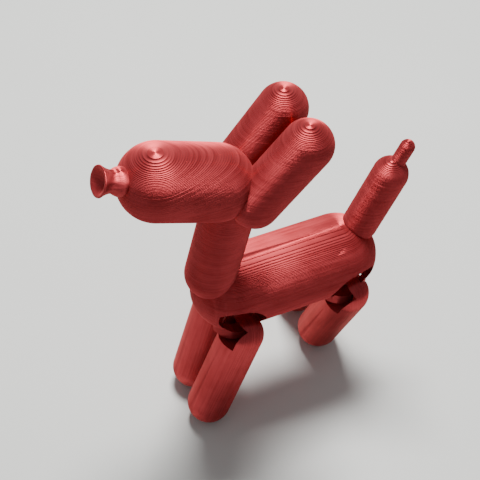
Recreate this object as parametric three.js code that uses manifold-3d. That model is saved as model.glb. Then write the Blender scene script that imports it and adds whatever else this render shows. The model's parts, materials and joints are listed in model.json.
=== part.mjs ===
// Jointed balloon-dog figure: one fused body print and four captive legs, each hung on a flat ring
// that stands in a round pocket of the body.  Millimetres, +Z up, the dog faces -X, its left is -Y.
// Everything is laid out about the front end of the torso, then moved so that the feet stand on Z = 0.
import * as THREE from 'three';
import { mergeVertices } from 'three/addons/utils/BufferGeometryUtils.js';
import Module from 'manifold-3d';

const wasm = await Module();
wasm.setup();

// ---- facets -------------------------------------------------------------------------------
const ROUND_FACETS = 28;
const CAP_RINGS = 6;
const SMALL_FACETS = 24;
const CLEARANCE_FACETS = 20;
const CLEARANCE_RINGS = 4;

// ---- torso --------------------------------------------------------------------------------
const TORSO_RADIUS = 8.2;
const TORSO_SPAN = 23.4; // between the centres of its two round ends

// ---- head, pitched nose-up ----------------------------------------------------------------
const HEAD_RADIUS = 7.2;
const HEAD_SPAN = 12.3;
const HEAD_PITCH = 22.4; // degrees
const HEAD_FRONT = [-15.5, 36.5]; // X and Z of the centre of its front end

// ---- knot and flared cup of the nose, as distances along the head's axis from HEAD_FRONT ---
const NOSE_ROOT = 5.4;
const KNOT_RADIUS = 2.75;
const KNOT_AT = 7.3;
const WAIST_RADIUS = 2.05;
const WAIST_AT = 9.2;
const LIP_RADIUS = 2.95;
const LIP_AT = 11.3;
const LIP_THICKNESS = 0.55;
const CUP_DEPTH = 1.3;

// ---- neck ---------------------------------------------------------------------------------
const NECK_RADIUS = 5.1;
const NECK_FOOT = [-4.6, 6.8];
const NECK_SPAN = 20.5;
const NECK_LEAN = 11.2; // degrees towards the tail, going up

// ---- ears ---------------------------------------------------------------------------------
const EAR_RADIUS = 4.75;
const EAR_ROOT = [1.7, 28.6];
const EAR_TOP = [11.1, 40.1];
const EAR_SIDE_AT_ROOT = 4.5;
const EAR_SIDE_AT_TOP = 5.1;

// ---- tail and its thin end ------------------------------------------------------------------
const TAIL_RADIUS = 3.6;
const TAIL_ROOT = [TORSO_SPAN + 4.8, 7.2];
const TAIL_TOP = [TORSO_SPAN + 10, 19.2];
const TIP_RADIUS = 1.5;
const TIP_SPAN = 6.9;
const TIP_LEAN = 24.5; // degrees towards the rear, going up

// ---- legs -------------------------------------------------------------------------------------
const LEG_RADIUS = 4.45;
const LEG_SPAN = 19.5;
const FOOT_FLAT_DEPTH = 0.15;

// ---- hips: a flat ring of the body stands fore and aft in each round hip pocket --------------
const HIP_SIDE = LEG_RADIUS + 1; // middle of the ring, along Y
const HIP_DROP = 7.4; // the hinge line runs through the lowest part of the ring
const RING_DROP = 0.8; // the ring's own centre, under the centre of the torso's end
const RING_INSIDE = 5.35;
const RING_OUTSIDE = 7.6;
const RING_HALF_WIDTH = 1.25; // along Y
const RING_ROUNDING = 0.8; // its outer face curves about a line this far across the middle
const RING_TOP_DROP = 1.2; // the hanging part of the ring starts this far under its centre
const POCKET_DROP = 4.1;
const POCKET_SHIFT = 1.2; // towards the nearer end of the torso

// ---- tunnel through the top of a leg, in the leg's own frame: origin on the hinge line, -Z down
// the leg, Y along the hinge ------------------------------------------------------------------
const HALF_RING = (RING_OUTSIDE - RING_INSIDE) / 2;
const TUNNEL_HALF_WIDTH = RING_HALF_WIDTH + 1.5; // in front, where the ring comes in
const TUNNEL_REAR_HALF_WIDTH = RING_HALF_WIDTH + 0.95;
const TUNNEL_ROOF = HALF_RING + 0.575; // over the hinge line, measured square to the ring
const TUNNEL_FLOOR = HALF_RING + 0.425; // under it
const TUNNEL_LEANS = [-28, 29]; // degrees the leg can lean to and fro on the ring
const RING_BEND = 19; // degrees the ring climbs within the tunnel

// ---- clearances -----------------------------------------------------------------------------
const LEG_CLEARANCE = 0.4;
const POCKET_RADIUS = LEG_RADIUS + 1.75;

// ---- pose -----------------------------------------------------------------------------------
const HIP_HEIGHT_OVER_SOLE = 0.946 * LEG_SPAN; // hinge line above the centre of each round foot
const LEG_TWIST = 8; // degrees about the leg's own axis
const SWEEP_STEP = 14; // degrees between the clearance shapes of a swinging leg

// Splay is in degrees towards +Y. The loose hip lets a leg slip along the ring, sideways on it
// and down it. Swing is the range in degrees from rest, positive to the front.
const LEGS = [
  { name: 'front_left_leg', end: 0, side: -1, splay: -4, slip: [0.1, -0.45, 0.45], swing: [-28, 6] },
  { name: 'front_right_leg', end: 0, side: 1, splay: -10, slip: [0.1, 0.1, 0.45], swing: [-28, 6] },
  { name: 'rear_left_leg', end: 1, side: -1, splay: 19.5, slip: [0.9, 0.35, 0.15], swing: [-32, 14] },
  { name: 'rear_right_leg', end: 1, side: 1, splay: 19.5, slip: [0.9, 0, 0.15], swing: [-32, 14] },
];

const RED = new THREE.MeshStandardMaterial({ color: 0xb5352f, roughness: 0.35, metalness: 0.1 });
const X_AXIS = new THREE.Vector3(1, 0, 0);
const Y_AXIS = new THREE.Vector3(0, 1, 0);
const Z_AXIS = new THREE.Vector3(0, 0, 1);
const radians = THREE.MathUtils.degToRad;

// ---- solids and geometry ----------------------------------------------------------------------

function toSolid(geometry) {
  const bare = geometry.index ? geometry.toNonIndexed() : geometry.clone();
  bare.deleteAttribute('normal');
  bare.deleteAttribute('uv');
  const merged = mergeVertices(bare, 1e-4);
  const index = Array.from(merged.index.array);
  const kept = [];
  for (let i = 0; i < index.length; i += 3) {
    const [a, b, c] = index.slice(i, i + 3);
    if (a !== b && b !== c && c !== a) {
      kept.push(a, b, c);
    }
  }
  const vertProperties = new Float32Array(merged.attributes.position.array);
  const triVerts = new Uint32Array(kept);
  return new wasm.Manifold(new wasm.Mesh({ numProp: 3, vertProperties, triVerts }));
}

function toGeometry(solid) {
  const mesh = solid.getMesh();
  const geometry = new THREE.BufferGeometry();
  geometry.setAttribute('position', new THREE.BufferAttribute(mesh.vertProperties.slice(), 3));
  geometry.setIndex(new THREE.BufferAttribute(mesh.triVerts.slice(), 1));
  geometry.computeVertexNormals();
  return geometry;
}

function turnFromY(geometry, direction) {
  const turn = new THREE.Quaternion().setFromUnitVectors(Y_AXIS, direction.clone().normalize());
  return geometry.applyQuaternion(turn);
}

// A round-ended rod between two points: one balloon bubble.
function bubble(from, to, radius, facets = ROUND_FACETS, rings = CAP_RINGS) {
  const along = to.clone().sub(from);
  const geometry = new THREE.CapsuleGeometry(radius, along.length(), rings, facets, 1);
  const middle = from.clone().add(to).multiplyScalar(0.5);
  return turnFromY(geometry, along).translate(middle.x, middle.y, middle.z);
}

function inPlane([x, z], y = 0) {
  return new THREE.Vector3(x, y, z);
}

function leaning(degrees, length) {
  const angle = radians(degrees);
  return new THREE.Vector3(Math.sin(angle), 0, Math.cos(angle)).multiplyScalar(length);
}

// ---- the fused body ---------------------------------------------------------------------------

const headBackwards = leaning(90 + HEAD_PITCH, 1);

function torsoSolid() {
  return toSolid(bubble(inPlane([0, 0]), inPlane([TORSO_SPAN, 0]), TORSO_RADIUS));
}

function headSolid() {
  const front = inPlane(HEAD_FRONT);
  const back = front.clone().addScaledVector(headBackwards, HEAD_SPAN);
  return toSolid(bubble(front, back, HEAD_RADIUS));
}

function noseSolid() {
  const profile = [
    [0, NOSE_ROOT],
    [KNOT_RADIUS * 0.75, NOSE_ROOT + 0.1],
    [KNOT_RADIUS, KNOT_AT - 0.4],
    [KNOT_RADIUS, KNOT_AT + 0.4],
    [KNOT_RADIUS * 0.88, KNOT_AT + 1.2],
    [WAIST_RADIUS, WAIST_AT],
    [WAIST_RADIUS * 1.12, WAIST_AT + 0.7],
    [LIP_RADIUS * 0.96, LIP_AT - LIP_THICKNESS],
    [LIP_RADIUS, LIP_AT],
    [LIP_RADIUS - LIP_THICKNESS, LIP_AT + LIP_THICKNESS / 2],
    [LIP_RADIUS * 0.5, LIP_AT - CUP_DEPTH * 0.6],
    [0, LIP_AT - CUP_DEPTH],
  ];
  const points = profile.map(([radius, along]) => new THREE.Vector2(radius, along));
  const lathe = new THREE.LatheGeometry(points, SMALL_FACETS);
  const forwards = headBackwards.clone().negate();
  const front = inPlane(HEAD_FRONT);
  return toSolid(turnFromY(lathe, forwards).translate(front.x, front.y, front.z));
}

function neckSolid() {
  const foot = inPlane(NECK_FOOT);
  const top = foot.clone().add(leaning(NECK_LEAN, NECK_SPAN));
  return toSolid(bubble(foot, top, NECK_RADIUS));
}

function earSolid(side) {
  const root = inPlane(EAR_ROOT, side * EAR_SIDE_AT_ROOT);
  const top = inPlane(EAR_TOP, side * EAR_SIDE_AT_TOP);
  return toSolid(bubble(root, top, EAR_RADIUS));
}

function tailSolid() {
  const top = inPlane(TAIL_TOP);
  const tipEnd = top.clone().add(leaning(TIP_LEAN, TIP_SPAN));
  const tail = toSolid(bubble(inPlane(TAIL_ROOT), top, TAIL_RADIUS, SMALL_FACETS));
  return tail.add(toSolid(bubble(top, tipEnd, TIP_RADIUS, SMALL_FACETS / 2)));
}

// ---- hips -------------------------------------------------------------------------------------

function alongHinge(radius, width) {
  return toSolid(new THREE.CylinderGeometry(radius, radius, width, ROUND_FACETS));
}

function hipCentre(leg) {
  const [along, across] = leg.slip;
  const y = leg.side * HIP_SIDE + across;
  return new THREE.Vector3(leg.end * TORSO_SPAN + along, y, -HIP_DROP);
}

// The lean that puts this leg's round foot at the common standing height.
function standingLean(leg) {
  const reach = (leg.slip[2] + LEG_SPAN) * Math.cos(radians(leg.splay));
  return Math.acos(Math.min(1, HIP_HEIGHT_OVER_SOLE / reach));
}

function legTurn(leg) {
  const lean = new THREE.Quaternion().setFromAxisAngle(Y_AXIS, standingLean(leg));
  const splay = new THREE.Quaternion().setFromAxisAngle(X_AXIS, radians(leg.splay));
  const twist = new THREE.Quaternion().setFromAxisAngle(Z_AXIS, radians(LEG_TWIST));
  return splay.multiply(lean).multiply(twist);
}

// Moves a shape from a leg's own frame to the torso's.
function placeLeg(geometry, leg) {
  const hip = hipCentre(leg);
  return geometry.applyQuaternion(legTurn(leg)).translate(hip.x, hip.y, hip.z);
}

function legRod(leg, radius, facets = ROUND_FACETS, rings = CAP_RINGS) {
  const shoulder = new THREE.Vector3(0, 0, -leg.slip[2]);
  const sole = new THREE.Vector3(0, 0, -leg.slip[2] - LEG_SPAN);
  return bubble(shoulder, sole, radius, facets, rings);
}

function towardsEnd(leg, distance) {
  return leg.end === 0 ? -distance : TORSO_SPAN + distance;
}

// The space one leg needs in the torso: a round pocket no wider than the ring's hole, so that the
// skin runs on unbroken into the ring, and the leg's whole swing.
function pocketSolid(leg) {
  const side = leg.side * HIP_SIDE;
  const round = new THREE.SphereGeometry(POCKET_RADIUS, ROUND_FACETS, 2 * CAP_RINGS);
  round.translate(towardsEnd(leg, POCKET_SHIFT), side, -POCKET_DROP);
  const hole = alongHinge(RING_INSIDE, 4 * POCKET_RADIUS).translate([towardsEnd(leg, 0), side, -RING_DROP]);
  let pocket = toSolid(round).intersect(hole);
  const [least, most] = leg.swing;
  const steps = Math.ceil((most - least) / SWEEP_STEP);
  for (let i = 0; i <= steps; i += 1) {
    const swing = radians(least + ((most - least) * i) / steps);
    const rod = legRod(leg, LEG_RADIUS + LEG_CLEARANCE, CLEARANCE_FACETS, CLEARANCE_RINGS);
    rod.applyQuaternion(new THREE.Quaternion().setFromAxisAngle(Y_AXIS, swing));
    pocket = pocket.add(toSolid(placeLeg(rod, leg)));
  }
  return pocket;
}

// The part of the torso left standing round the ring's hole, and the ring that hangs from it.
function ringSolid(leg, wholeTorso) {
  const width = 2 * RING_HALF_WIDTH;
  const side = leg.side * HIP_SIDE;
  const place = [towardsEnd(leg, 0), side, -RING_DROP];
  const across = 2 * RING_OUTSIDE;
  const slab = new THREE.BoxGeometry(across, width, across).translate(...place);
  const round = HIP_SIDE + RING_HALF_WIDTH + RING_ROUNDING;
  const face = new THREE.CylinderGeometry(round, round, across, ROUND_FACETS).rotateX(Math.PI / 2);
  face.translate(place[0], -leg.side * RING_ROUNDING, place[2]);
  const low = new THREE.BoxGeometry(across, width, across);
  low.translate(0, 0, -RING_OUTSIDE - RING_TOP_DROP);
  const disc = alongHinge(RING_OUTSIDE, width).intersect(toSolid(low)).translate(place);
  const hole = alongHinge(RING_INSIDE, 2 * width).translate(place);
  const ring = disc.intersect(toSolid(face));
  return toSolid(slab).intersect(wholeTorso).add(ring).subtract(hole);
}

function bodySolid() {
  const wholeTorso = torsoSolid();
  let torso = wholeTorso;
  for (const leg of LEGS) {
    torso = torso.subtract(pocketSolid(leg));
  }
  for (const leg of LEGS) {
    torso = torso.add(ringSolid(leg, wholeTorso));
  }
  const rest = [headSolid(), noseSolid(), neckSolid(), earSolid(-1), earSolid(1), tailSolid()];
  return rest.reduce((whole, piece) => whole.add(piece), torso);
}

// ---- legs -------------------------------------------------------------------------------------

function direction(degrees) {
  return new THREE.Vector2(Math.cos(radians(degrees)), Math.sin(radians(degrees)));
}

// Two edges that open from a corner, kept a set distance from the rays they run along.
function openCorner(from, to, clear) {
  const far = 4 * LEG_RADIUS;
  const corner = direction((from + to) / 2).multiplyScalar(clear / Math.sin(radians(to - from) / 2));
  const ends = [from, to].map((angle) => direction(angle).multiplyScalar(far).add(corner));
  return [ends[0], corner, ends[1]];
}

// The through-hole flares fore and aft, so that the curved ring fits in it at every lean.
function tunnelSolid() {
  const [least, most] = TUNNEL_LEANS;
  const roof = openCorner(most + RING_BEND, 180 + least - RING_BEND, TUNNEL_ROOF);
  const floor = openCorner(180 + most - RING_BEND * 0.7, 360 + least + RING_BEND * 0.7, TUNNEL_FLOOR);
  const outline = new THREE.Shape([...roof, ...floor]);
  const [front, whole] = [TUNNEL_HALF_WIDTH, TUNNEL_REAR_HALF_WIDTH].map((half) => {
    const prism = new THREE.ExtrudeGeometry(outline, { depth: 2 * half, bevelEnabled: false });
    return toSolid(prism.translate(0, 0, -half).rotateX(Math.PI / 2));
  });
  const wide = 8 * LEG_RADIUS;
  const ahead = new THREE.BoxGeometry(wide, wide, wide).translate(-wide / 2, 0, 0);
  return whole.add(front.intersect(toSolid(ahead)));
}

// In the leg's own frame, with the small flat that it stands on.
function legSolid(leg, groundHeight) {
  const shaped = toSolid(legRod(leg, LEG_RADIUS, ROUND_FACETS)).subtract(tunnelSolid());
  const thick = 2 * LEG_RADIUS;
  const wide = 8 * LEG_RADIUS;
  const ground = new THREE.BoxGeometry(wide, wide, thick);
  ground.translate(0, 0, groundHeight - thick / 2 - hipCentre(leg).z);
  ground.applyQuaternion(legTurn(leg).invert());
  return shaped.subtract(toSolid(ground));
}

// ---- assembly ---------------------------------------------------------------------------------

function named(solid, name) {
  const mesh = new THREE.Mesh(toGeometry(solid), RED.clone());
  mesh.name = name;
  return mesh;
}

function assemble() {
  const groundHeight = -HIP_DROP - HIP_HEIGHT_OVER_SOLE - LEG_RADIUS + FOOT_FLAT_DEPTH;
  const dog = new THREE.Group();
  dog.name = 'jointed_balloon_dog';
  dog.add(named(bodySolid(), 'body'));
  for (const leg of LEGS) {
    const mesh = named(legSolid(leg, groundHeight), leg.name);
    mesh.position.copy(hipCentre(leg));
    mesh.quaternion.copy(legTurn(leg));
    dog.add(mesh);
  }
  const centre = new THREE.Box3().setFromObject(dog, true).getCenter(new THREE.Vector3());
  dog.position.set(-centre.x, -centre.y, -groundHeight);
  dog.updateMatrixWorld(true);
  return dog;
}

export default assemble();
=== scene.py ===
"""A jointed balloon dog, printed in silky red plastic, standing on a pale table.

The dog is laid out from the centre of its torso's front round end: -X to the nose, +Y to its right,
+Z up. Sizes are in millimetres until a mesh is placed, which turns them into metres.
"""

from __future__ import annotations

import json
import logging
import math
from dataclasses import dataclass, field
from enum import Enum

import bmesh
import bpy
from mathutils import Matrix, Quaternion, Vector

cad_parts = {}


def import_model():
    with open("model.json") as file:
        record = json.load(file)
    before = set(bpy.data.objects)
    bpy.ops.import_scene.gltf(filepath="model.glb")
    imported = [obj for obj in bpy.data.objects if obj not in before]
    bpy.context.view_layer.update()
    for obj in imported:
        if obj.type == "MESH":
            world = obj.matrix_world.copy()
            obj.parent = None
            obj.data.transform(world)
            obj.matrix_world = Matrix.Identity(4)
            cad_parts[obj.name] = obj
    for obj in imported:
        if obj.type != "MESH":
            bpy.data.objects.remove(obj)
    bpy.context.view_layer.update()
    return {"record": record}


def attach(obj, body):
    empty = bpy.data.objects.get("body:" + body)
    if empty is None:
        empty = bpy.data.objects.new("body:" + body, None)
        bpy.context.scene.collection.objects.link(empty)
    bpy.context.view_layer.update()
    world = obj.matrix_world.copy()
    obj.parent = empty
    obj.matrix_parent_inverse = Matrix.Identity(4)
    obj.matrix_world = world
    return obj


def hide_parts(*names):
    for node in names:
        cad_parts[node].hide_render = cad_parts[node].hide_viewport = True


LOG = logging.getLogger("balloon_dog")
MM = 0.001
BODY = "figure"
LAYER = 0.2  # mm, one printed layer
LEAST_TILT = 1e-4  # radians; a level rod would divide by zero
SHARP_ANGLE = math.radians(50)  # edges sharper than this stay sharp after a cut
ROUNDED_ANGLE = math.radians(40)  # edges sharper than this are rounded by soften()
ROD_STEPS = 12  # from pole to pole of a rod's two round ends
FINE, MEDIUM = 128, 96  # sides of large and of small round shapes
TUNNEL_STEP, ROOM_STEP = 4, 8  # degrees between two places of a swept swing
X_AXIS, Y_AXIS, Z_AXIS = Vector((1, 0, 0)), Vector((0, 1, 0)), Vector((0, 0, 1))


# ---------------------------------------------------------------------------- node helpers


def add_node(
    tree: bpy.types.NodeTree,
    kind: str,
    settings: dict | None = None,
    links: dict | None = None,
) -> bpy.types.Node:
    """Adds one node.

    Args:
        tree: The tree it goes in.
        kind: The node's type name.
        settings: Properties to set on the node itself.
        links: Input name or index to a constant or to the output socket that feeds it.

    Returns:
        The new node.
    """
    node = tree.nodes.new(kind)
    for name, value in (settings or {}).items():
        setattr(node, name, value)
    for name, value in (links or {}).items():
        socket = node.inputs[name]
        if isinstance(value, bpy.types.NodeSocket):
            tree.links.new(value, socket)
        else:
            socket.default_value = value
    return node


class Term:
    """A number in a node tree that can be used in ordinary arithmetic."""

    def __init__(self, tree: bpy.types.NodeTree, socket: bpy.types.NodeSocket) -> None:
        """Wraps an output socket of a tree."""
        self.tree = tree
        self.socket = socket

    def op(self, operation: str, *others: Term | float) -> Term:
        """Feeds this term and others to one math node.

        Args:
            operation: The math node's operation.
            *others: Its further operands.

        Returns:
            The node's result.
        """
        values = [o.socket if isinstance(o, Term) else float(o) for o in others]
        links = {0: self.socket, **{i + 1: v for i, v in enumerate(values)}}
        node = add_node(self.tree, "ShaderNodeMath", {"operation": operation}, links)
        return Term(self.tree, node.outputs[0])

    def __add__(self, other: Term | float) -> Term:
        """Sum."""
        return self.op("ADD", other)

    def __sub__(self, other: Term | float) -> Term:
        """Difference."""
        return self.op("SUBTRACT", other)

    def __mul__(self, other: Term | float) -> Term:
        """Product."""
        return self.op("MULTIPLY", other)

    def __truediv__(self, other: Term | float) -> Term:
        """Quotient."""
        return self.op("DIVIDE", other)

    def limited(self, low: Term | float, high: Term | float) -> Term:
        """This term held between two limits."""
        return self.op("MAXIMUM", low).op("MINIMUM", high)


def noise(tree: bpy.types.NodeTree, where: bpy.types.NodeSocket, scale: float, detail: float = 2.0) -> Term:
    """A noise texture whose marks are about 1 / scale metres across."""
    links = {"Vector": where, "Scale": scale, "Detail": detail}
    return Term(tree, add_node(tree, "ShaderNodeTexNoise", links=links).outputs[0])


# ---------------------------------------------------------------------------- colours and finishes


def linear(hex_colour: str) -> tuple[float, float, float, float]:
    """Turns an sRGB hex colour into linear RGBA.

    Args:
        hex_colour: Six hex digits, such as "b5352f".

    Returns:
        Red, green, blue and an alpha of 1.
    """
    channels = [int(hex_colour[i : i + 2], 16) / 255 for i in (0, 2, 4)]
    values = [c / 12.92 if c <= 0.04045 else ((c + 0.055) / 1.055) ** 2.4 for c in channels]
    return (*values, 1.0)


class Grooves(Enum):
    """Whether a piece shows its printed layers in its mesh or only as a fine bump."""

    IN_MESH = 0
    AS_BUMP = 1


@dataclass(frozen=True)
class SilkPla:
    """Silk PLA, extruded in 0.2 mm layers.

    Its pearly additive gives a soft metallic sheen that stretches across the layers, and each bead
    is drawn a little lighter or darker than its neighbours.
    """

    name: str = "silk_pla_printed"
    base: str = "c4464a"
    shade: str = "a33034"
    sheen: str = "ffb4ac"
    ramp_from: float = 0.34
    ramp_to: float = 0.62
    roughness: float = 0.4
    roughness_spread: float = 0.22
    metallic: float = 0.7
    stretch: float = 1.0
    fuzz: float = 0.12
    fuzz_roughness: float = 0.4
    streak_scale: float = 90.0
    streak_flatness: float = 40.0
    streak_share: float = 0.55
    cloud_scale: float = 190.0
    cloud_share: float = 0.45
    grain_scale: float = 9000.0
    grain_height: float = 0.25
    groove_height: float = 0.5
    bump_strength: float = 0.35
    bump_distance: float = 0.00003

    def build(self, grooves: Grooves, across: Vector = Z_AXIS) -> bpy.types.Material:
        """Makes the material.

        Args:
            grooves: Whether the bump has to draw the layers.
            across: Unit vector across the layers, in the piece's own frame.

        Returns:
            A new node material.
        """
        material = bpy.data.materials.new(f"{self.name}_{grooves.name.lower()}")
        material.use_nodes = True
        tree = material.node_tree
        tree.nodes.clear()
        place = add_node(tree, "ShaderNodeTexCoord").outputs["Object"]
        dot = {"operation": "DOT_PRODUCT"}
        level = add_node(tree, "ShaderNodeVectorMath", dot, {0: place, 1: across}).outputs["Value"]
        # Streaks about 0.27 mm tall and 11 mm long: flow differences along each bead.
        scaled = {0: across, "Scale": level}
        rise = add_node(tree, "ShaderNodeVectorMath", {"operation": "SCALE"}, scaled).outputs[0]
        flattened = {0: rise, 1: (self.streak_flatness,) * 3, 2: place}
        flat = add_node(tree, "ShaderNodeVectorMath", {"operation": "MULTIPLY_ADD"}, flattened)
        streaks = noise(tree, flat.outputs[0], self.streak_scale)
        # Pearly clouding some 5 mm across.
        clouds = noise(tree, place, self.cloud_scale, 3.0)
        blend = streaks * self.streak_share + clouds * self.cloud_share
        ramp = add_node(tree, "ShaderNodeValToRGB", links={"Fac": blend.socket})
        ramp.color_ramp.elements[0].position = self.ramp_from
        ramp.color_ramp.elements[0].color = linear(self.shade)
        ramp.color_ramp.elements[1].position = self.ramp_to
        ramp.color_ramp.elements[1].color = linear(self.base)
        rough = (streaks - 0.5) * self.roughness_spread + self.roughness
        # Grain of the extruded skin, 0.1 mm.
        height = noise(tree, place, self.grain_scale, 1.0) * self.grain_height
        if grooves is Grooves.AS_BUMP:
            waves = (Term(tree, level) * (2 * math.pi / (LAYER * MM))).op("COSINE")
            height = height + waves * self.groove_height
        relief = {"Strength": self.bump_strength, "Distance": self.bump_distance, "Height": height.socket}
        bump = add_node(tree, "ShaderNodeBump", links=relief)
        turned = {"vector_type": "VECTOR", "convert_from": "OBJECT", "convert_to": "WORLD"}
        tangent = add_node(tree, "ShaderNodeVectorTransform", turned, {0: across})
        shader = add_node(
            tree,
            "ShaderNodeBsdfPrincipled",
            links={
                "Base Color": ramp.outputs[0],
                "Anisotropic": self.stretch,
                "Tangent": tangent.outputs[0],
                "Metallic": self.metallic,
                "Roughness": rough.socket,
                "Specular Tint": linear(self.sheen),
                "Sheen Weight": self.fuzz,
                "Sheen Roughness": self.fuzz_roughness,
                "Sheen Tint": linear(self.sheen),
                "Normal": bump.outputs[0],
            },
        )
        add_node(tree, "ShaderNodeOutputMaterial", links={"Surface": shader.outputs[0]})
        return material


@dataclass(frozen=True)
class TableTop:
    """Matt pale laminate: even, with a faint wide mottling."""

    pale: str = "dcdcd8"
    deep: str = "d2d3ce"
    mottle_scale: float = 14.0
    grain_scale: float = 2500.0
    grain_strength: float = 0.1
    grain_distance: float = 0.00002
    roughness: float = 0.62

    def build(self) -> bpy.types.Material:
        """Makes the material.

        Returns:
            A new node material.
        """
        material = bpy.data.materials.new("matt_pale_laminate")
        material.use_nodes = True
        tree = material.node_tree
        tree.nodes.clear()
        place = add_node(tree, "ShaderNodeTexCoord").outputs["Object"]
        mottle = noise(tree, place, self.mottle_scale, 3.0)
        ramp = add_node(tree, "ShaderNodeValToRGB", links={"Fac": mottle.socket})
        ramp.color_ramp.elements[0].color = linear(self.deep)
        ramp.color_ramp.elements[1].color = linear(self.pale)
        grain = noise(tree, place, self.grain_scale).socket
        relief = {"Strength": self.grain_strength, "Distance": self.grain_distance, "Height": grain}
        bump = add_node(tree, "ShaderNodeBump", links=relief)
        links = {"Base Color": ramp.outputs[0], "Roughness": self.roughness, "Normal": bump.outputs[0]}
        shader = add_node(tree, "ShaderNodeBsdfPrincipled", links=links)
        add_node(tree, "ShaderNodeOutputMaterial", links={"Surface": shader.outputs[0]})
        return material


# ---------------------------------------------------------------------------- printed bubbles


class BubbleTree:
    """Geometry Nodes that print a round-ended rod as a stack of flat layers.

    Each layer is the level section of the rod at the layer's middle, with a rounded bead for an
    edge, so shallow tops step in terraces and steep sides are finely grooved.
    """

    SIZES = (
        "Radius",
        "Half Length",
        "Tilt",
        "First Layer",
        "Layer Height",
        "Bead Depth",
        "Wobble",
        "Smooth Below",
    )
    COUNTS = ("Layers", "Sides", "Seed")
    ROWS = 4  # across each bead
    MIDDLE_ROWS = 0.2  # of a layer, from a bead's middle to its two inner rows
    EDGE_ROWS = 0.26  # of a layer, from there to its two edge rows
    WHOLE_ROW = 0.01  # keeps a row's rounded number from falling into the layer below
    DEEPEST = 0.6  # of a section's radius, the most that groove and wobble take off
    SMALLEST = 1e-6  # m, below which a section is a point and points are welded

    def __init__(self) -> None:
        """Builds the tree once, for every piece to share."""
        self.tree = bpy.data.node_groups.new("printed_bubble", "GeometryNodeTree")
        face = self.tree.interface
        for name in self.SIZES:
            face.new_socket(name=name, in_out="INPUT", socket_type="NodeSocketFloat")
        for name in self.COUNTS:
            face.new_socket(name=name, in_out="INPUT", socket_type="NodeSocketInt")
        face.new_socket(name="Material", in_out="INPUT", socket_type="NodeSocketMaterial")
        face.new_socket(name="Geometry", in_out="OUTPUT", socket_type="NodeSocketGeometry")
        self._build()

    def _build(self) -> None:
        """Adds the nodes."""
        tree = self.tree
        given = add_node(tree, "NodeGroupInput").outputs
        size = {name: Term(tree, given[name]) for name in self.SIZES + self.COUNTS}
        rows = size["Layers"] * self.ROWS
        columns = size["Sides"] + 1
        sheet = {"Size X": 1.0, "Size Y": 1.0, "Vertices X": rows.socket, "Vertices Y": columns.socket}
        grid = add_node(tree, "GeometryNodeMeshGrid", links=sheet)
        position = add_node(tree, "GeometryNodeInputPosition").outputs[0]
        spot = add_node(tree, "ShaderNodeSeparateXYZ", links={0: position})
        row = ((Term(tree, spot.outputs[0]) + 0.5) * (rows - 1)).op("ROUND")
        angle = (Term(tree, spot.outputs[1]) + 0.5) * (2 * math.pi)
        layer = (row / self.ROWS + self.WHOLE_ROW).op("FLOOR")
        # -1.5, -0.5, 0.5, 1.5 over the bead's rows
        step = row - layer * self.ROWS - 1.5
        edge = step.op("ABSOLUTE").op("GREATER_THAN", 1.0)
        middle = size["First Layer"] + layer * size["Layer Height"]
        rise = step.op("SIGN") * (edge * self.EDGE_ROWS + self.MIDDLE_ROWS) * size["Layer Height"]
        # Below its middle a rod printed lying down can be smooth.
        smooth_here = (middle.op("LESS_THAN", 0.0) * size["Smooth Below"]).op("MINIMUM", 1.0)
        cut = middle + rise * smooth_here
        radius, half, tilt = size["Radius"], size["Half Length"], size["Tilt"]
        sine, cosine = tilt.op("SINE"), tilt.op("COSINE")
        # The wall's slope where it faces this way, on the straight part of the rod.
        slope = (angle.op("COSINE") * (-1.0) / (sine / cosine)).op("ARCTANGENT")
        along = ((cut - radius * slope.op("SINE")) / sine).limited(half * (-1.0), half)
        level = (cut - along * sine) / radius
        left = level.limited(-1.0, 1.0).op("POWER", 2.0) * (-1.0) + 1.0
        reach = radius * left.op("MAXIMUM", 0.0).op("SQRT")
        inside = reach.op("GREATER_THAN", self.SMALLEST)
        # A layer past the rod's top or bottom shrinks to the one point that closes it.
        top = radius + half * sine
        height = (middle + rise).limited(top * (-1.0), top)
        random = add_node(
            tree,
            "FunctionNodeRandomValue",
            {"data_type": "FLOAT"},
            {"Min": -1.0, "Max": 1.0, "ID": layer.socket, "Seed": given["Seed"]},
        )
        wobble = Term(tree, next(o for o in random.outputs if o.enabled)) * size["Wobble"]
        groove = edge * size["Bead Depth"] * (smooth_here * (-1.0) + 1.0)
        offset = (wobble - groove).op("MAXIMUM", reach * (-self.DEEPEST)) * inside
        out = reach + offset
        x = along * cosine + out * angle.op("COSINE")
        y = out * angle.op("SINE")
        place = add_node(tree, "ShaderNodeCombineXYZ", links={0: x.socket, 1: y.socket, 2: height.socket})
        bent = {"Geometry": grid.outputs[0], "Position": place.outputs[0]}
        moved = add_node(tree, "GeometryNodeSetPosition", links=bent)
        near = {"Geometry": moved.outputs[0], "Distance": self.SMALLEST}
        joined = add_node(tree, "GeometryNodeMergeByDistance", links=near)
        smooth = add_node(tree, "GeometryNodeSetShadeSmooth", links={0: joined.outputs[0]})
        real = add_node(tree, "GeometryNodeRealizeInstances", links={0: smooth.outputs[0]})
        finish = {"Geometry": real.outputs[0], "Material": given["Material"]}
        dressed = add_node(tree, "GeometryNodeSetMaterial", links=finish)
        add_node(tree, "NodeGroupOutput", links={0: dressed.outputs[0]})

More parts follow.
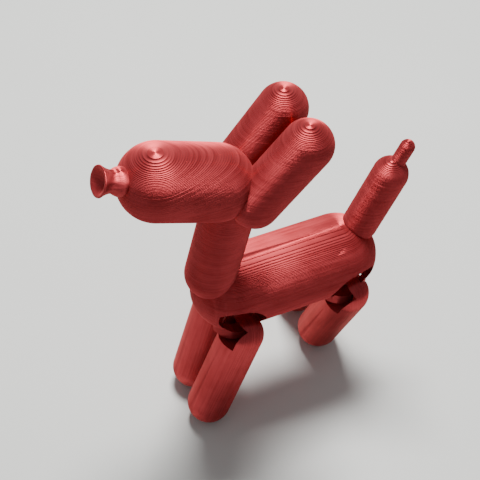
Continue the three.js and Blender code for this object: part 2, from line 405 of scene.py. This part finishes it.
    def make(
        self,
        name: str,
        material: bpy.types.Material,
        sides: int,
        seed: int,
        **sizes: float,
    ) -> bpy.types.Object:
        """Prints one rod about the origin, leaning up along +X.

        Args:
            name: The object's name.
            material: Its finish.
            sides: Steps round each layer.
            seed: Seed of the small differences between layers.
            **sizes: The tree's sizes, in metres and radians, with spaces as underscores.

        Returns:
            A mesh object with no modifier.
        """
        start = bpy.data.objects.new(name, bpy.data.meshes.new(f"{name}_start"))
        bpy.context.collection.objects.link(start)
        modifier = start.modifiers.new("print", "NODES")
        modifier.node_group = self.tree
        values = {key.replace("_", " "): value for key, value in sizes.items()}
        values |= {"Sides": sides, "Seed": seed, "Material": material}
        for item in self.tree.interface.items_tree:
            if item.in_out == "INPUT":
                modifier[item.identifier] = values[item.name]
        bpy.context.view_layer.update()
        evaluated = start.evaluated_get(bpy.context.evaluated_depsgraph_get())
        mesh = bpy.data.meshes.new_from_object(evaluated)
        bpy.data.objects.remove(start)
        mesh.name = name
        made = bpy.data.objects.new(name, mesh)
        bpy.context.collection.objects.link(made)
        return made


# ---------------------------------------------------------------------------- mesh helpers


def outward(obj: bpy.types.Object) -> bpy.types.Object:
    """Points a closed mesh's faces outwards.

    Args:
        obj: The mesh object.

    Returns:
        The same object.
    """
    mesh = bmesh.new()
    mesh.from_mesh(obj.data)
    bmesh.ops.recalc_face_normals(mesh, faces=mesh.faces)
    mesh.to_mesh(obj.data)
    mesh.free()
    return obj


def from_rings(name: str, rings: list[list[Vector]]) -> bpy.types.Object:
    """Skins rings of points of equal count and caps both ends.

    Args:
        name: The object's name.
        rings: The rings, in order.

    Returns:
        The new mesh object, smooth shaded.
    """
    mesh = bmesh.new()
    made = [[mesh.verts.new(p) for p in ring] for ring in rings]
    count = len(rings[0])
    for near, far in zip(made, made[1:]):
        for j in range(count):
            k = (j + 1) % count
            mesh.faces.new((near[j], near[k], far[k], far[j]))
    mesh.faces.new(made[0][::-1])
    mesh.faces.new(made[-1])
    bmesh.ops.recalc_face_normals(mesh, faces=mesh.faces)
    for one in mesh.faces:
        one.smooth = True
    data = bpy.data.meshes.new(name)
    mesh.to_mesh(data)
    mesh.free()
    obj = bpy.data.objects.new(name, data)
    bpy.context.collection.objects.link(obj)
    return obj


def circle(centre: Vector, across: Vector, up: Vector, radius: float, count: int = 32) -> list[Vector]:
    """Points of a circle about a centre, in the plane of two unit vectors."""
    turns = [2 * math.pi * i / count for i in range(count)]
    return [centre + (across * math.cos(t) + up * math.sin(t)) * radius for t in turns]


def rod(name: str, start: Vector, end: Vector, radius: float, count: int = 40) -> bpy.types.Object:
    """Makes a round-ended rod between two points, used to clear room for another piece.

    Args:
        name: Its name.
        start: The centre of its first round end.
        end: The centre of its last round end.
        radius: Its radius.
        count: Steps round it.

    Returns:
        The rod's mesh object.
    """
    axis = (end - start).normalized()
    across = axis.orthogonal().normalized()
    up = axis.cross(across)
    rings = []
    half = ROD_STEPS // 2
    for i in range(1, ROD_STEPS):
        turn = math.pi * i / ROD_STEPS - math.pi / 2
        if i == half:
            rings.append(circle(start, across, up, radius, count))
        centre = (start if i < half else end) + axis * (radius * math.sin(turn))
        rings.append(circle(centre, across, up, radius * math.cos(turn), count))
    return from_rings(name, rings)


def combine(target: bpy.types.Object, tools: list[bpy.types.Object], operation: str) -> bpy.types.Object:
    """Cuts or joins meshes.

    Args:
        target: The mesh that is changed.
        tools: The meshes it is cut or joined with, which are used up.
        operation: DIFFERENCE, UNION or INTERSECT.

    Returns:
        The changed target.
    """
    for tool in tools:
        change = target.modifiers.new("combine", "BOOLEAN")
        change.operation = operation
        change.solver = "MANIFOLD"
        change.object = tool
    bpy.context.view_layer.update()
    evaluated = target.evaluated_get(bpy.context.evaluated_depsgraph_get())
    mesh = bpy.data.meshes.new_from_object(evaluated)
    finish = next((m for m in target.data.materials if m), None)
    target.modifiers.clear()
    target.data = mesh
    for tool in tools:
        bpy.data.objects.remove(tool)
    dress(target, finish)
    mesh.set_sharp_from_angle(angle=SHARP_ANGLE)
    return target


def dress(obj: bpy.types.Object, finish: bpy.types.Material | None) -> None:
    """Gives every face of a mesh the same finish.

    Args:
        obj: The mesh object.
        finish: The material, or None for a cutting tool.
    """
    obj.data.materials.clear()
    if finish:
        obj.data.materials.append(finish)
    obj.data.polygons.foreach_set("material_index", [0] * len(obj.data.polygons))


def place(obj: bpy.types.Object, matrix: Matrix) -> bpy.types.Object:
    """Moves a mesh's own points and returns its object, which stays at the origin."""
    obj.data.transform(matrix)
    return obj


def to_frame(origin: Vector) -> Matrix:
    """Turns the layout's millimetres into the shared frame's metres."""
    return Matrix.Translation(origin) @ Matrix.Scale(MM, 4)


# ---------------------------------------------------------------------------- the dog


@dataclass
class Bubble:
    """One balloon bubble of the dog, printed upright with the whole body."""

    name: str
    start: Vector
    end: Vector
    radius: float
    seed: int
    sides: int
    wobble: float = 0.012
    bead_depth: float = 0.055

    def build(self, tree: BubbleTree, origin: Vector, material: bpy.types.Material) -> bpy.types.Object:
        """Prints the bubble where it belongs.

        Args:
            tree: The shared printing tree.
            origin: The layout's origin in the shared frame, in metres.
            material: Its finish.

        Returns:
            The bubble's mesh object.
        """
        low, high = sorted((self.start, self.end), key=lambda p: p.z)
        along = high - low
        level = math.hypot(along.x, along.y)
        tilt = max(math.atan2(along.z, level), LEAST_TILT)
        half = along.length / 2
        middle = (low + high) / 2
        top = half * math.sin(tilt) + self.radius
        # Layers sit on the same levels through the whole body.
        base = origin.z / MM + middle.z
        first = math.floor((base - top) / LAYER - 0.5) * LAYER + LAYER / 2 - base
        layers = math.ceil((top - first) / LAYER + 0.5) + 1
        obj = tree.make(
            self.name,
            material,
            self.sides,
            self.seed,
            Radius=self.radius * MM,
            Half_Length=half * MM,
            Tilt=tilt,
            First_Layer=first * MM,
            Layer_Height=LAYER * MM,
            Bead_Depth=self.bead_depth * MM,
            Wobble=self.wobble * MM,
            Smooth_Below=0.0,
            Layers=layers,
        )
        heading = Matrix.Rotation(math.atan2(along.y, along.x), 4, "Z")
        place(obj, Matrix.Translation(origin + middle * MM) @ heading)
        return outward(obj)


@dataclass
class Leg:
    """One loose leg, printed lying down, and the swing it has on its ring."""

    name: str
    end: int
    side: int
    splay: float
    slip: tuple[float, float, float]
    swing: tuple[float, float]
    seed: int
    radius: float = 4.45
    span: float = 19.5
    twist: float = 8.0
    standing: float = 18.45
    flat: float = 0.15
    sides: int = MEDIUM
    wobble: float = 0.01
    bead_depth: float = 0.05

    def hip(self, hips: Hips) -> Vector:
        """The middle of its hinge line."""
        along, sideways = self.slip[:2]
        return Vector((self.end * hips.torso_span + along, self.side * hips.side + sideways, -hips.drop))

    def lean(self) -> float:
        """The lean, in degrees, that brings its foot down to the table."""
        reach = (self.slip[2] + self.span) * math.cos(math.radians(self.splay))
        return math.degrees(math.acos(min(1.0, self.standing / reach)))

    def turn(self) -> Quaternion:
        """Finds its attitude at rest.

        Returns:
            The turn that leans it to the table, splays it and twists it.
        """
        splay = Quaternion(X_AXIS, math.radians(self.splay))
        lean = Quaternion(Y_AXIS, math.radians(self.lean()))
        return splay @ lean @ Quaternion(Z_AXIS, math.radians(self.twist))

    def ends(self, hips: Hips, swing: float) -> tuple[Vector, Vector]:
        """Finds the centres of its two round ends.

        Args:
            hips: The hips' sizes.
            swing: Its swing from rest, in degrees.

        Returns:
            The upper and the lower centre.
        """
        turn = self.turn() @ Quaternion(Y_AXIS, math.radians(swing))
        hip = self.hip(hips)
        return tuple(hip + turn @ Vector((0, 0, -d)) for d in (self.slip[2], self.slip[2] + self.span))

    def build(
        self,
        tree: BubbleTree,
        hips: Hips,
        origin: Vector,
        material: bpy.types.Material,
    ) -> bpy.types.Object:
        """Prints the leg lying down, opens its tunnel and stands it up.

        Args:
            tree: The shared printing tree.
            hips: The hips' sizes.
            origin: The layout's origin in the shared frame, in metres.
            material: Its finish.

        Returns:
            The leg's mesh object.
        """
        layers = math.ceil(2 * self.radius / LAYER) + 3
        obj = tree.make(
            self.name,
            material,
            self.sides,
            self.seed,
            Radius=self.radius * MM,
            Half_Length=self.span / 2 * MM,
            Tilt=LEAST_TILT,
            First_Layer=-(layers - 1) / 2 * LAYER * MM,
            Layer_Height=LAYER * MM,
            Bead_Depth=self.bead_depth * MM,
            Wobble=self.wobble * MM,
            Smooth_Below=1.0,
            Layers=layers,
        )
        outward(obj)
        # Lying down its length is along X; standing, that is -Z, and its printed top faces the rear.
        stand = Matrix(((0, 0, 1), (0, 1, 0), (-1, 0, 0))).to_4x4()
        down = Matrix.Translation((0, 0, -(self.slip[2] + self.span / 2)))
        place(obj, down @ stand @ Matrix.Scale(1 / MM, 4))
        combine(obj, hips.tunnel(self), "DIFFERENCE")
        ground = -(self.standing + self.radius - self.flat)
        place(obj, Matrix.Translation(self.hip(hips)) @ self.turn().to_matrix().to_4x4())
        low = ground + self.hip(hips).z
        # Wide and deep enough to lie under the foot of any leg.
        slab = block("ground", Vector((-40, -40, low - 9)), Vector((60, 40, low)))
        combine(obj, [slab], "DIFFERENCE")
        place(obj, to_frame(origin))
        return obj


def block(name: str, low: Vector, high: Vector) -> bpy.types.Object:
    """Makes a box, used to trim another piece.

    Args:
        name: Its name.
        low: Its lowest corner.
        high: Its highest corner.

    Returns:
        The box's mesh object.
    """
    outline = (low.x, low.y), (high.x, low.y), (high.x, high.y), (low.x, high.y)
    return from_rings(name, [[Vector((x, y, z)) for x, y in outline] for z in (low.z, high.z)])


def bar_along_y(name: str, centre: Vector, radius: float, half: float, count: int = 72) -> bpy.types.Object:
    """A round bar along Y, used to shape another piece."""
    ends = [centre + Y_AXIS * (s * half) for s in (-1, 1)]
    return from_rings(name, [circle(p, X_AXIS, Z_AXIS, radius, count) for p in ends])


def prism_along_y(name: str, outline: list[Vector], half: float) -> bpy.types.Object:
    """An outline in X and Z, drawn out both ways along Y, used to trim another piece."""
    rings = [[Vector((p.x, s * half, p.y)) for p in outline] for s in (-1, 1)]
    return from_rings(name, rings)


@dataclass
class Hips:
    """The rings under the torso and the room that the legs need round them."""

    torso_span: float = 23.4
    torso_radius: float = 8.2
    side: float = 5.45
    drop: float = 7.4
    ring_drop: float = 0.8
    inside: float = 5.35
    outside: float = 7.6
    half_width: float = 1.25
    rounding: float = 0.8
    pocket_radius: float = 6.2
    pocket_drop: float = 4.1
    pocket_shift: float = 1.2
    tunnel_half: float = 2.75
    tunnel_gap: float = 0.28
    tunnel_roof: float = 1.7
    tunnel_floor: float = 1.95
    bend: float = 19.0
    clear: float = 0.4
    web_drop: float = 1.2
    skin_inset: float = 0.02
    edge_rounding: float = 0.12

    def towards_end(self, end: int, distance: float) -> float:
        """X of a point this far outside the centre of a torso end."""
        return -distance if end == 0 else self.torso_span + distance

    def ring_middle(self, leg: Leg) -> Vector:
        """The centre of the ring that a leg hangs on."""
        return Vector((self.towards_end(leg.end, 0), leg.side * self.side, -self.ring_drop))

    def ring_hole(self, leg: Leg, grow: float = 0.0) -> bpy.types.Object:
        """The bar that opens a leg's ring, made thinner by a clearance."""
        half = 3 * self.half_width
        return bar_along_y("hole", self.ring_middle(leg), self.inside - grow, half, MEDIUM)

    def tunnel(self, leg: Leg) -> list[bpy.types.Object]:
        """The through-hole of a leg: a flat floor under a roof that clears the ring at every lean.

        Args:
            leg: The leg.

        Returns:
            The meshes to cut away, in the leg's own frame.
        """
        least, most = (leg.lean() + swing for swing in leg.swing)
        far = 4 * leg.radius
        ring = self.ring_shape(leg, "tunnel", self.tunnel_gap)
        at_rest = leg.turn().to_matrix().to_4x4().inverted() @ Matrix.Translation(-leg.hip(self))
        steps = math.ceil((leg.swing[1] - leg.swing[0]) / TUNNEL_STEP)
        swept = []
        for i in range(steps + 1):
            swing = leg.swing[0] + (leg.swing[1] - leg.swing[0]) * i / steps
            tool = bpy.data.objects.new("tunnel", ring.data.copy())
            bpy.context.collection.objects.link(tool)
            swept.append(place(tool, Matrix.Rotation(-math.radians(swing), 4, "Y") @ at_rest))
        bpy.data.objects.remove(ring)
        outline = self._roof(most + self.bend, 180 + least - self.bend, far)
        outline += [Vector((-far, -self.tunnel_floor)), Vector((far, -self.tunnel_floor))]
        ahead = block("ahead", Vector((-far, -far, -far)), Vector((0, far, far)))
        front = combine(prism_along_y("front", outline, self.tunnel_half), [ahead], "INTERSECT")
        return [front, *swept]

    def ring_shape(self, leg: Leg, name: str, grow: float = 0.0) -> bpy.types.Object:
        """Makes the whole flat ring of one hip.

        Args:
            leg: The leg that hangs on it.
            name: The object's name.
            grow: A clearance added on every side.

        Returns:
            The ring's mesh object, in the layout's frame.
        """
        middle = self.ring_middle(leg)
        ring = bar_along_y(name, middle, self.outside + grow, self.half_width + grow, FINE)
        round_face = self.side + self.half_width + self.rounding + grow
        axis = Vector((middle.x, -leg.side * self.rounding, 0))
        # An upright drum, taller than the ring, rounds the ring's outer face.
        tops = [circle(axis + Z_AXIS * z, X_AXIS, Y_AXIS, round_face, FINE) for z in (-12, 9)]
        hole = self.ring_hole(leg, grow)
        combine(ring, [from_rings("face", tops)], "INTERSECT")
        return combine(ring, [hole], "DIFFERENCE")

    def _roof(self, start: float, stop: float, far: float) -> list[Vector]:
        """Draws the tunnel's roof: two edges that open upwards from a corner.

        Args:
            start: Direction of the first edge, in degrees.
            stop: Direction of the second edge, in degrees.
            far: Length of each edge.

        Returns:
            Its three points, with both edges the roof's height clear of the hinge line.
        """
        half = math.radians(stop - start) / 2
        middle = math.radians(start + stop) / 2
        corner = Vector((math.cos(middle), math.sin(middle))) * (self.tunnel_roof / math.sin(half))
        rays = [Vector((math.cos(math.radians(a)), math.sin(math.radians(a)))) * far for a in (start, stop)]
        return [corner + rays[0], corner, corner + rays[1]]

    def room(self, leg: Leg) -> list[bpy.types.Object]:
        """Makes the room that one leg needs in the torso.

        Args:
            leg: The leg.

        Returns:
            The pocket and the leg's swept swing, to be cut from the torso.
        """
        shift = self.towards_end(leg.end, self.pocket_shift)
        centre = Vector((shift, leg.side * self.side, -self.pocket_drop))
        # A ball: the rod between its two halves is next to nothing.
        sliver = X_AXIS * 0.01
        pocket = rod("pocket", centre - sliver, centre + sliver, self.pocket_radius, 64)
        # Held within the ring's hole, so that the torso keeps its skin outside the ring.
        hole = bar_along_y("hole", self.ring_middle(leg), self.inside, 20, MEDIUM)
        tools = [combine(pocket, [hole], "INTERSECT")]
        least, most = leg.swing
        steps = math.ceil((most - least) / ROOM_STEP)
        for i in range(steps + 1):
            start, end = leg.ends(self, least + (most - least) * i / steps)
            tools.append(rod("swing", start, end, leg.radius + self.clear))
        return tools

    def ring(self, leg: Leg, origin: Vector, material: bpy.types.Material) -> bpy.types.Object:
        """Builds the ring that one leg hangs on.

        Args:
            leg: The leg.
            origin: The layout's origin in the shared frame, in metres.
            material: Its finish.

        Returns:
            The ring's mesh object.
        """
        name = leg.name.replace("_leg", "_hip_ring")
        middle = self.ring_middle(leg)
        # The ring shows only below its web, which fills what the torso's skin covers.
        low = block("low", middle + Vector((-9, -9, -9)), middle + Vector((9, 9, -self.web_drop)))
        ring = combine(self.ring_shape(leg, name), [low], "INTERSECT")
        slab = bar_along_y("web", middle, self.outside, self.half_width, FINE)
        ends = Vector((0, 0, 0)), Vector((self.torso_span, 0, 0))
        skin = rod("skin", *ends, self.torso_radius - self.skin_inset, FINE)
        combine(slab, [skin], "INTERSECT")
        combine(ring, [slab], "UNION")
        combine(ring, [self.ring_hole(leg)], "DIFFERENCE")
        place(ring, to_frame(origin))
        soften(ring, self.edge_rounding)
        dress(ring, material)
        return ring


def soften(obj: bpy.types.Object, width: float) -> None:
    """Rounds a mesh's sharp edges as a printed bead would.

    Args:
        obj: The mesh object, whose points are already in metres.
        width: How far the rounding reaches from each edge, in millimetres.
    """
    bevel = obj.modifiers.new("round", "BEVEL")
    bevel.width = width * MM
    bevel.segments = 2
    bevel.limit_method = "ANGLE"
    bevel.angle_limit = ROUNDED_ANGLE
    bpy.context.view_layer.update()
    mesh = bpy.data.meshes.new_from_object(obj.evaluated_get(bpy.context.evaluated_depsgraph_get()))
    obj.modifiers.clear()
    obj.data = mesh
    for one in mesh.polygons:
        one.use_smooth = True


@dataclass
class Nose:
    """The knot and flared cup that end a balloon, on the head's axis."""

    root: float = 5.4
    knot: tuple[float, float] = (2.75, 7.3)
    waist: tuple[float, float] = (2.05, 9.2)
    lip: tuple[float, float] = (2.95, 11.3)
    lip_thickness: float = 0.55
    cup_depth: float = 1.3
    folds: int = 9
    fold_depth: float = 0.05
    lip_fold_depth: float = 0.012
    sides: int = MEDIUM

    def profile(self) -> list[tuple[float, float]]:
        """Draws half of the nose's outline, from the head over the knot and lip into the cup.

        Returns:
            A radius and a distance along the head's axis for each point.
        """
        (knot, knot_at), (waist, waist_at), (lip, lip_at) = self.knot, self.waist, self.lip
        thick = self.lip_thickness
        return [
            (0.4, self.root),
            (knot * 0.72, self.root + 0.1),
            (knot * 0.93, knot_at - 0.8),
            (knot, knot_at),
            (knot * 0.93, knot_at + 0.8),
            (knot * 0.8, knot_at + 1.2),
            (waist, waist_at),
            (waist * 1.08, waist_at + 0.6),
            (lip * 0.88, lip_at - thick),
            (lip, lip_at - thick * 0.2),
            (lip * 0.97, lip_at + 0.12),
            (lip - thick, lip_at + 0.1),
            (lip * 0.62, lip_at - 0.5),
            (lip * 0.3, lip_at - self.cup_depth * 0.9),
            (0.1, lip_at - self.cup_depth),
        ]

    def build(
        self,
        front: Vector,
        forwards: Vector,
        origin: Vector,
        material: bpy.types.Material,
    ) -> bpy.types.Object:
        """Turns the nose's profile round the head's axis, with the gathered folds of a tied balloon.

        Args:
            front: The centre of the head's front round end.
            forwards: Unit vector out of the nose.
            origin: The layout's origin in the shared frame, in metres.
            material: Its finish.

        Returns:
            The nose's mesh object.
        """
        up = forwards.cross(Y_AXIS).normalized()
        rings = []
        for radius, at in self.profile():
            # The folds are deep only where the balloon is gathered, round the waist.
            gathered = self.waist[1] - 0.9 < at < self.lip[1] - 0.6
            fold = self.fold_depth if gathered else self.lip_fold_depth
            ring = []
            for i in range(self.sides):
                turn = 2 * math.pi * i / self.sides
                reach = radius * (1 - fold * (0.5 + 0.5 * math.cos(self.folds * turn)))
                outwards = Y_AXIS * math.cos(turn) + up * math.sin(turn)
                ring.append(front + forwards * at + outwards * reach)
            rings.append(ring)
        obj = from_rings("nose_knot_and_cup", rings)
        smooth = obj.modifiers.new("smooth", "SUBSURF")
        smooth.levels = smooth.render_levels = 1
        bpy.context.view_layer.update()
        mesh = bpy.data.meshes.new_from_object(obj.evaluated_get(bpy.context.evaluated_depsgraph_get()))
        obj.modifiers.clear()
        obj.data = mesh
        place(obj, to_frame(origin))
        dress(obj, material)
        return obj


@dataclass
class Dog:
    """The whole figure, laid out in one frame."""

    origin: Vector
    hips: Hips = field(default_factory=Hips)
    head_front: Vector = field(default_factory=lambda: Vector((-15.5, 0, 36.5)))
    head_pitch: float = 22.4
    head_span: float = 12.3
    neck_root: Vector = field(default_factory=lambda: Vector((-4.6, 0, 6.8)))
    neck_lean: float = 11.2
    neck_span: float = 20.5
    tail_top: Vector = field(default_factory=lambda: Vector((33.4, 0, 19.2)))
    tip_lean: float = 24.5
    tip_span: float = 6.9

    def head_back(self) -> Vector:
        """The centre of the head's rear round end."""
        pitch = math.radians(self.head_pitch)
        return self.head_front + Vector((math.cos(pitch), 0, -math.sin(pitch))) * self.head_span

    def bubbles(self) -> list[Bubble]:
        """Lays out every balloon bubble of the body.

        Returns:
            The bubbles: name, two end centres, radius, seed and sides of each.
        """
        torso_end = Vector((self.hips.torso_span, 0, 0))
        lean, tip = math.radians(self.neck_lean), math.radians(self.tip_lean)
        neck_top = self.neck_root + Vector((math.sin(lean), 0, math.cos(lean))) * self.neck_span
        tail_end = self.tail_top + Vector((math.sin(tip), 0, math.cos(tip))) * self.tip_span
        return [
            Bubble("torso", Vector((0, 0, 0)), torso_end, self.hips.torso_radius, 11, FINE),
            Bubble("head", self.head_front, self.head_back(), 7.2, 12, FINE),
            Bubble("neck", self.neck_root, neck_top, 5.1, 13, MEDIUM),
            Bubble("left_ear", Vector((1.7, -4.5, 28.6)), Vector((11.1, -5.1, 40.1)), 4.75, 14, MEDIUM),
            Bubble("right_ear", Vector((1.7, 4.5, 28.6)), Vector((11.1, 5.1, 40.1)), 4.75, 15, MEDIUM),
            Bubble("tail", Vector((28.2, 0, 7.2)), self.tail_top, 3.6, 16, 80),
            Bubble("tail_tip", self.tail_top, tail_end, 1.5, 17, 56),
        ]

    def legs(self) -> list[Leg]:
        """Lays out the four legs.

        Returns:
            The legs: name, torso end, side, splay, slip, swing limits and seed of each.
        """
        return [
            Leg("front_left_leg", 0, -1, -4.0, (0.1, -0.45, 0.45), (-28, 6), 21),
            Leg("front_right_leg", 0, 1, -10.0, (0.1, 0.1, 0.45), (-28, 6), 22),
            Leg("rear_left_leg", 1, -1, 19.5, (0.9, 0.35, 0.15), (-32, 14), 23),
            Leg("rear_right_leg", 1, 1, 19.5, (0.9, 0.0, 0.15), (-32, 14), 24),
        ]

    def build(self) -> None:
        """Builds, dresses and mounts every piece."""
        grooved = SilkPla().build(Grooves.IN_MESH)
        bumped = SilkPla().build(Grooves.AS_BUMP)
        tree = BubbleTree()
        for bubble in self.bubbles():
            obj = bubble.build(tree, self.origin, grooved)
            if bubble.name == "torso":
                self.open_pockets(obj)
            self.mount(obj, BODY, "body")
        forwards = (self.head_front - self.head_back()).normalized()
        self.mount(Nose().build(self.head_front, forwards, self.origin, bumped), BODY, "body")
        for leg in self.legs():
            self.mount(self.hips.ring(leg, self.origin, bumped), BODY, "body")
            rows = SilkPla().build(Grooves.IN_MESH, leg.turn() @ X_AXIS)
            self.mount(leg.build(tree, self.hips, self.origin, rows), leg.name, leg.name)

    def open_pockets(self, torso: bpy.types.Object) -> None:
        """Cuts the legs' pockets into the torso.

        Args:
            torso: The torso's mesh object, already placed.
        """
        for leg in self.legs():
            tools = [place(tool, to_frame(self.origin)) for tool in self.hips.room(leg)]
            combine(torso, tools, "DIFFERENCE")

    def mount(self, obj: bpy.types.Object, body: str, node: str) -> None:
        """Rides a finished piece on its CAD body, in place of its CAD node.

        Args:
            obj: The piece.
            body: The CAD body that it moves with.
            node: The CAD node that it stands for.
        """
        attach(obj, body)
        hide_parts(node)
        LOG.info("%s: %d faces on %s", obj.name, len(obj.data.polygons), body)


# ---------------------------------------------------------------------------- the setting


@dataclass
class Studio:
    """Table, lights and camera."""

    azimuth: float = -27.0
    elevation: float = 48.8
    roll: float = 3.2
    lens: float = 94.8
    eye: Vector = field(default_factory=lambda: Vector((-70.601, -141.328, 194.917)))
    aim: Vector = field(default_factory=lambda: Vector((8, 0, 8)))
    light_azimuth: float = 66.0
    light_elevation: float = 68.0
    light_away: float = 0.42
    light_size: float = 0.13
    light_power: float = 3.9
    room_colour: str = "dfe3e6"
    room_power: float = 0.36
    table_half: float = 1.5
    table_bottom: float = -0.02
    table_top: float = -0.0002

    def build(self, origin: Vector) -> None:
        """Sets the table, lights and camera.

        Args:
            origin: The layout's origin in the shared frame, in metres.
        """
        self.table()
        self.world()
        self.light(origin + self.aim * MM)
        self.camera(origin)

    def table(self) -> None:
        """Lays a wide pale table top, just below the feet."""
        half = self.table_half
        low, high = Vector((-half, -half, self.table_bottom)), Vector((half, half, self.table_top))
        floor = block("table_top", low, high)
        for one in floor.data.polygons:
            one.use_smooth = False
        floor.data.materials.append(TableTop().build())

    def world(self) -> None:
        """Fills the room with soft grey light."""
        world = bpy.data.worlds.new("room")
        bpy.context.scene.world = world
        world.use_nodes = True
        world.node_tree.nodes.clear()
        links = {0: linear(self.room_colour), 1: self.room_power}
        glow = add_node(world.node_tree, "ShaderNodeBackground", links=links)
        add_node(world.node_tree, "ShaderNodeOutputWorld", links={0: glow.outputs[0]})

    def light(self, target: Vector) -> None:
        """Adds one square soft light, at an azimuth taken from +X towards +Y.

        Args:
            target: What it faces, in metres.
        """
        level, turn = math.radians(self.light_elevation), math.radians(self.light_azimuth)
        ahead = Vector((math.cos(turn), math.sin(turn), 0))
        towards = ahead * math.cos(level) + Z_AXIS * math.sin(level)
        data = bpy.data.lights.new("window", "AREA")
        data.size = self.light_size
        data.energy = self.light_power
        obj = bpy.data.objects.new("window", data)
        obj.location = target + towards * self.light_away
        obj.rotation_euler = towards.to_track_quat("Z", "Y").to_euler()
        bpy.context.collection.objects.link(obj)

    def camera(self, origin: Vector) -> None:
        """Sets the camera.

        Args:
            origin: The layout's origin in the shared frame, in metres.
        """
        turn, level, roll = (math.radians(a) for a in (self.azimuth, self.elevation, self.roll))
        ahead = Vector((math.sin(turn), -math.cos(turn), 0))
        back = ahead * math.cos(level) + Z_AXIS * math.sin(level)
        right = Vector((math.cos(turn), math.sin(turn), 0))
        up = back.cross(right)
        level_right = right * math.cos(roll) + up * math.sin(roll)
        level_up = up * math.cos(roll) - right * math.sin(roll)
        axes = (level_right, level_up, back)
        data = bpy.data.cameras.new("camera")
        data.lens = self.lens
        data.sensor_width = 36
        data.clip_start = 0.01
        obj = bpy.data.objects.new("camera", data)
        spot = origin + self.eye * MM
        obj.matrix_world = Matrix.Translation(spot) @ Matrix(axes).transposed().to_4x4()
        bpy.context.collection.objects.link(obj)
        bpy.context.scene.camera = obj


def layout_origin(frame: dict) -> Vector:
    """Finds the layout's origin in the shared frame.


    Returns:
        The centre of the torso's front round end, in metres.
    """
    joints = {joint["name"]: joint for joint in frame["record"]["behaviour"]["joints"]}
    hip = Vector(joints["front_left_hip"]["pos_m"])
    first = Dog(Vector()).legs()[0]
    return hip - first.hip(Hips()) * MM


def main() -> None:
    """Builds the dog and its setting."""
    logging.basicConfig(level=logging.INFO, format="%(name)s %(message)s")
    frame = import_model()
    origin = layout_origin(frame)
    Dog(origin).build()
    Studio().build(origin)


if __name__ == "__main__":
    main()
